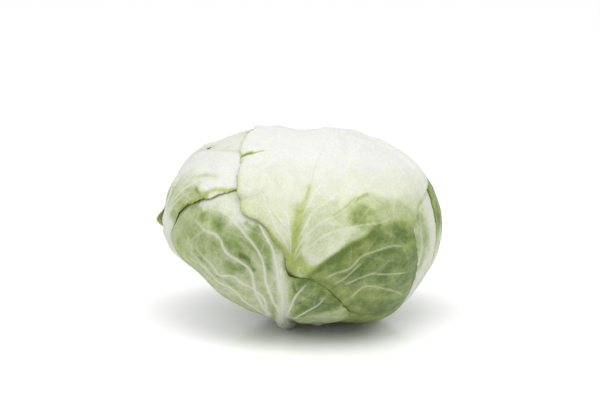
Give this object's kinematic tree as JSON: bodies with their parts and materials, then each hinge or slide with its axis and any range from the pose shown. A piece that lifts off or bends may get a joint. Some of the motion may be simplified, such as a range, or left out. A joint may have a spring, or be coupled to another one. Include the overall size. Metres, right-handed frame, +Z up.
{
  "type": "cabbage head",
  "caption": "Whole flat-round cabbage head: packed inner leaves wrapped in loose overlapping ribbed outer leaves, standing on its cut stalk.",
  "frame": {"origin": "middle of the stalk's cut face, on the surface that the head stands on", "axes": "+Z up out of the surface, +X along the head's longest width, -Y towards the side that the picture shows"},
  "size_m": [0.2069, 0.1868, 0.1432],
  "materials": {
    "stalk": "moist cut pith, pale cream green",
    "inner_leaf": "waxy, satin",
    "pale_leaf": "waxy, satin, white ribs",
    "light_leaf": "waxy, satin, white ribs",
    "green_leaf": "waxy, satin, white ribs"
  },
  "bodies": {
    "root": {"stalk": "stalk", "inner_head": "inner_leaf", "back_leaf": "light_leaf", "right_leaf": "pale_leaf", "lower_left_leaf": "light_leaf", "front_left_leaf": "green_leaf", "back_right_leaf": "green_leaf", "left_leaf": "pale_leaf", "back_left_leaf": "light_leaf", "front_right_leaf": "pale_leaf"}
  },
  "joints": []
}
